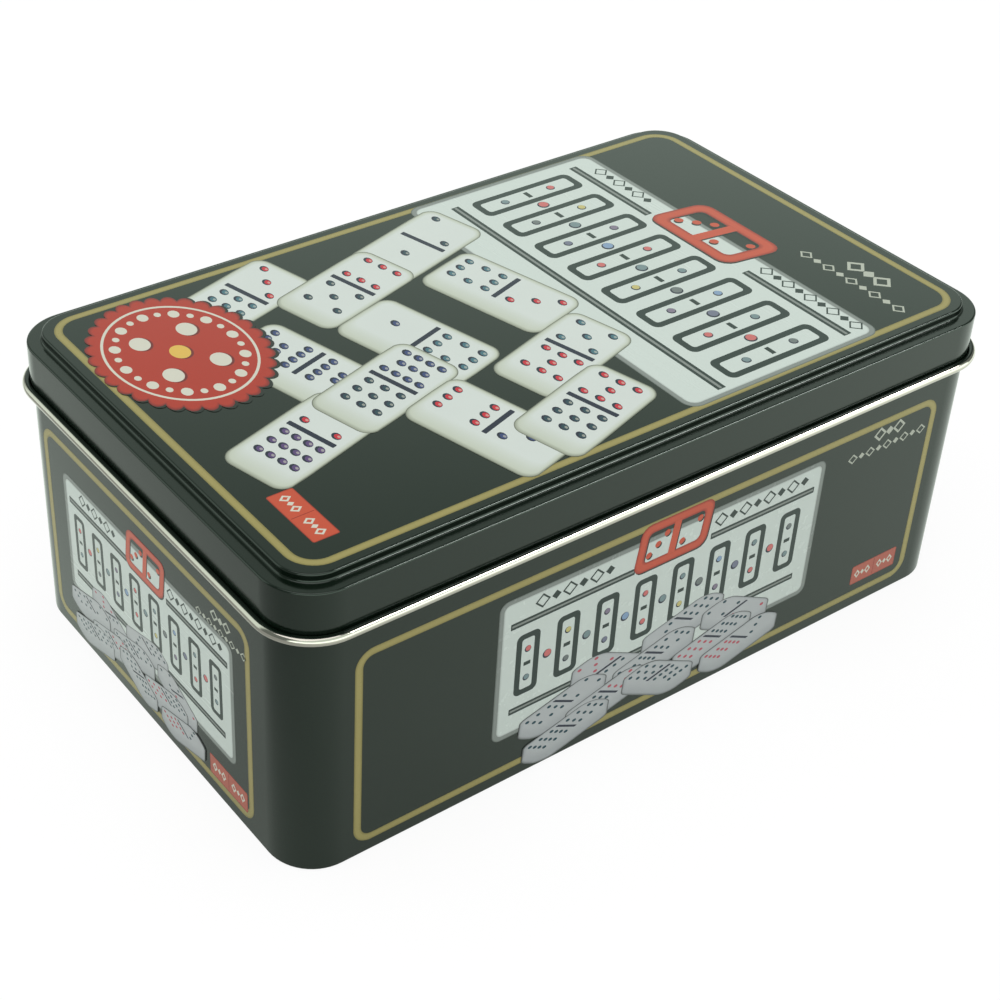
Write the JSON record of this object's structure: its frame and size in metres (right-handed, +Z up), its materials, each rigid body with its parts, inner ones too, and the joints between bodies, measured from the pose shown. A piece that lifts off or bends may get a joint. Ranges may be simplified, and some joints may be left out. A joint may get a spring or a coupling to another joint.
{
  "type": "domino set tin",
  "caption": "Rectangular slip-lid tin with a raised lid panel and a curled bead, holding piles of domino tiles and a folded leaflet in a formed insert tray.",
  "frame": {"origin": "middle of the tin's footprint, on the surface that it stands on", "axes": "+X along the tin's long side, +Y towards the back side with the seam, +Z up and the way the lid lifts off"},
  "size_m": [0.196, 0.1198, 0.076],
  "materials": {
    "black_lacquer": "gloss",
    "bare_tinplate": "satin",
    "ivory_plastic": "gloss",
    "tray_plastic": "satin",
    "leaflet_paper": "matte"
  },
  "bodies": {
    "tin": {"tin_body": "black_lacquer", "tin_bottom": "bare_tinplate", "tray": "tray_plastic", "rules_leaflet": "leaflet_paper", "pile_01_lower_dominoes": "ivory_plastic", "pile_01_third_domino": "ivory_plastic", "pile_01_second_domino": "ivory_plastic", "pile_01_top_domino": "ivory_plastic", "pile_02_lower_dominoes": "ivory_plastic", "pile_02_third_domino": "ivory_plastic", "pile_02_second_domino": "ivory_plastic", "pile_02_top_domino": "ivory_plastic", "pile_03_lower_dominoes": "ivory_plastic", "pile_03_third_domino": "ivory_plastic", "pile_03_second_domino": "ivory_plastic", "pile_03_top_domino": "ivory_plastic", "pile_04_lower_dominoes": "ivory_plastic", "pile_04_third_domino": "ivory_plastic", "pile_04_second_domino": "ivory_plastic", "pile_04_top_domino": "ivory_plastic", "pile_05_lower_dominoes": "ivory_plastic", "pile_05_third_domino": "ivory_plastic", "pile_05_second_domino": "ivory_plastic", "pile_05_top_domino": "ivory_plastic", "pile_06_lower_dominoes": "ivory_plastic", "pile_06_third_domino": "ivory_plastic", "pile_06_second_domino": "ivory_plastic", "pile_06_top_domino": "ivory_plastic", "pile_07_lower_dominoes": "ivory_plastic", "pile_07_third_domino": "ivory_plastic", "pile_07_second_domino": "ivory_plastic", "pile_07_top_domino": "ivory_plastic", "pile_08_lower_dominoes": "ivory_plastic", "pile_08_third_domino": "ivory_plastic", "pile_08_second_domino": "ivory_plastic", "pile_08_top_domino": "ivory_plastic", "pile_09_lower_dominoes": "ivory_plastic", "pile_09_third_domino": "ivory_plastic", "pile_09_second_domino": "ivory_plastic", "pile_09_top_domino": "ivory_plastic", "pile_10_lower_dominoes": "ivory_plastic", "pile_10_third_domino": "ivory_plastic", "pile_10_second_domino": "ivory_plastic", "pile_10_top_domino": "ivory_plastic", "pile_11_lower_dominoes": "ivory_plastic", "pile_11_third_domino": "ivory_plastic", "pile_11_second_domino": "ivory_plastic", "pile_11_top_domino": "ivory_plastic", "pile_12_lower_dominoes": "ivory_plastic", "pile_12_third_domino": "ivory_plastic", "pile_12_second_domino": "ivory_plastic", "pile_12_top_domino": "ivory_plastic", "pile_13_lower_dominoes": "ivory_plastic", "pile_13_third_domino": "ivory_plastic", "pile_13_second_domino": "ivory_plastic", "pile_13_top_domino": "ivory_plastic"},
    "lid_body": {"lid": "black_lacquer"}
  },
  "joints": [
    {"name": "lid_lift", "type": "slide", "parent": "tin", "child": "lid_body", "axis": [0, 0, 1], "range_m": [0, 0.09]}
  ]
}
